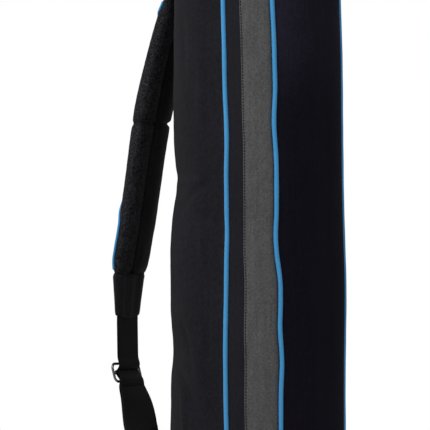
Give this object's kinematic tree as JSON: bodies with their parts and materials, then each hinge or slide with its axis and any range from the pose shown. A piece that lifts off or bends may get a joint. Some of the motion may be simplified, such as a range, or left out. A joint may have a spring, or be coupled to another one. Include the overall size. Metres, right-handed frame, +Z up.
{
  "type": "bowling ball bag",
  "caption": "Tall in-line bowling bag with padded shell, side-zipped front door, contrast piping and a padded shoulder strap",
  "frame": {"origin": "middle of the base plate's underside, on the surface the bag stands on", "axes": "+Z up along the bag, -Y out of the zipped front door, +Y to the shoulder strap, -X to the zip"},
  "size_m": [0.2438, 0.3589, 0.8585],
  "materials": {
    "black_polyester": "woven 600-denier polyester, dull",
    "grey_polyester": "coarse grey twill polyester, dull",
    "ribbed_polyester": "fine vertical rib, slight sheen",
    "blue_piping": "satin bias tape over a cord",
    "foam": "closed-cell foam faced with tricot lining",
    "webbing": "50 mm woven polypropylene webbing",
    "spacer_mesh": "knitted spacer mesh",
    "black_nickel": "black-nickel plated zinc and steel wire",
    "nylon_coil": "nylon coil",
    "rubber": "moulded rubber"
  },
  "bodies": {
    "bag_tub": {"back_cover": "black_polyester", "left_side_cover": "black_polyester", "right_side_cover": "black_polyester", "top_end_cover": "black_polyester", "bottom_end_cover": "black_polyester", "back_foam": "foam", "left_side_foam": "foam", "right_side_foam": "foam", "top_end_foam": "foam", "bottom_end_foam": "foam", "rear_piping": "blue_piping", "rear_zip_tape": "black_polyester", "rear_zip_coil": "nylon_coil", "rear_hinge_fabric": "black_polyester", "lower_end_pad": "foam", "upper_end_pad": "foam", "lower_divider": "foam", "upper_divider": "foam", "lower_cell_low_rib": "foam", "lower_cell_high_rib": "foam", "middle_cell_low_rib": "foam", "middle_cell_high_rib": "foam", "upper_cell_low_rib": "foam", "upper_cell_high_rib": "foam", "base_plate": "rubber", "handle_left_patch": "black_polyester", "handle_right_patch": "black_polyester", "upper_webbing": "webbing", "upper_anchor_patch": "black_polyester", "lower_anchor_tab": "webbing"},
    "front_door": {"front_cover": "ribbed_polyester", "front_foam": "foam", "grey_gusset": "grey_polyester", "door_left_foam": "foam", "door_right_foam": "foam", "door_top_foam": "foam", "door_bottom_foam": "foam", "front_piping": "blue_piping", "front_zip_tape": "black_polyester", "front_zip_coil": "nylon_coil", "front_hinge_fabric": "black_polyester"},
    "zip_runner": {"zip_slider": "black_nickel"},
    "zip_tab": {"zip_pull": "black_nickel"},
    "top_handle": {"handle_roll": "black_polyester"},
    "shoulder_strap": {"pad_cover": "black_polyester", "pad_lining": "spacer_mesh", "pad_left_piping": "blue_piping", "pad_right_piping": "blue_piping", "pad_lower_sleeve": "black_polyester", "pad_upper_sleeve": "black_polyester", "main_webbing": "webbing", "return_webbing": "webbing"},
    "strap_adjuster": {"tri_glide": "black_nickel", "bar_loop": "webbing"},
    "ring_body": {"lower_ring": "black_nickel"}
  },
  "joints": [
    {"name": "door_hinge", "type": "hinge", "parent": "bag_tub", "child": "front_door", "pos_m": [0.11512, -0.06259, 0.40001], "axis": [-0.008, 0.0029, 1], "range_deg": [0, 110]},
    {"name": "zip_slide", "type": "slide", "parent": "bag_tub", "child": "zip_runner", "axis": [-0.008, -0.0029, -1], "range_m": [0, 0.68]},
    {"name": "zip_pull_swing", "type": "hinge", "parent": "zip_runner", "child": "zip_tab", "pos_m": [-0.11335, -0.06183, 0.76252], "axis": [-0.2498, 0.9683, -0.0008], "range_deg": [0, 150]},
    {"name": "handle_flop", "type": "hinge", "parent": "bag_tub", "child": "top_handle", "pos_m": [0, 0, 0.8185], "axis": [1, 0, 0], "range_deg": [-75, 75], "stiffness_Nm_per_rad": 0.08},
    {"name": "strap_swing", "type": "hinge", "parent": "bag_tub", "child": "shoulder_strap", "pos_m": [0, 0.11, 0.4], "axis": [0, 0, 1], "range_deg": [-12, 12], "deforming": ["lower_anchor_tab"]},
    {"name": "adjuster_slide", "type": "slide", "parent": "shoulder_strap", "child": "strap_adjuster", "axis": [0, 0.0155, 0.9999], "range_m": [0, 0.02]},
    {"name": "ring_tilt", "type": "hinge", "parent": "shoulder_strap", "child": "ring_body", "pos_m": [0, 0.11, 0.05], "axis": [1, 0, 0], "range_deg": [-4, 4]}
  ]
}
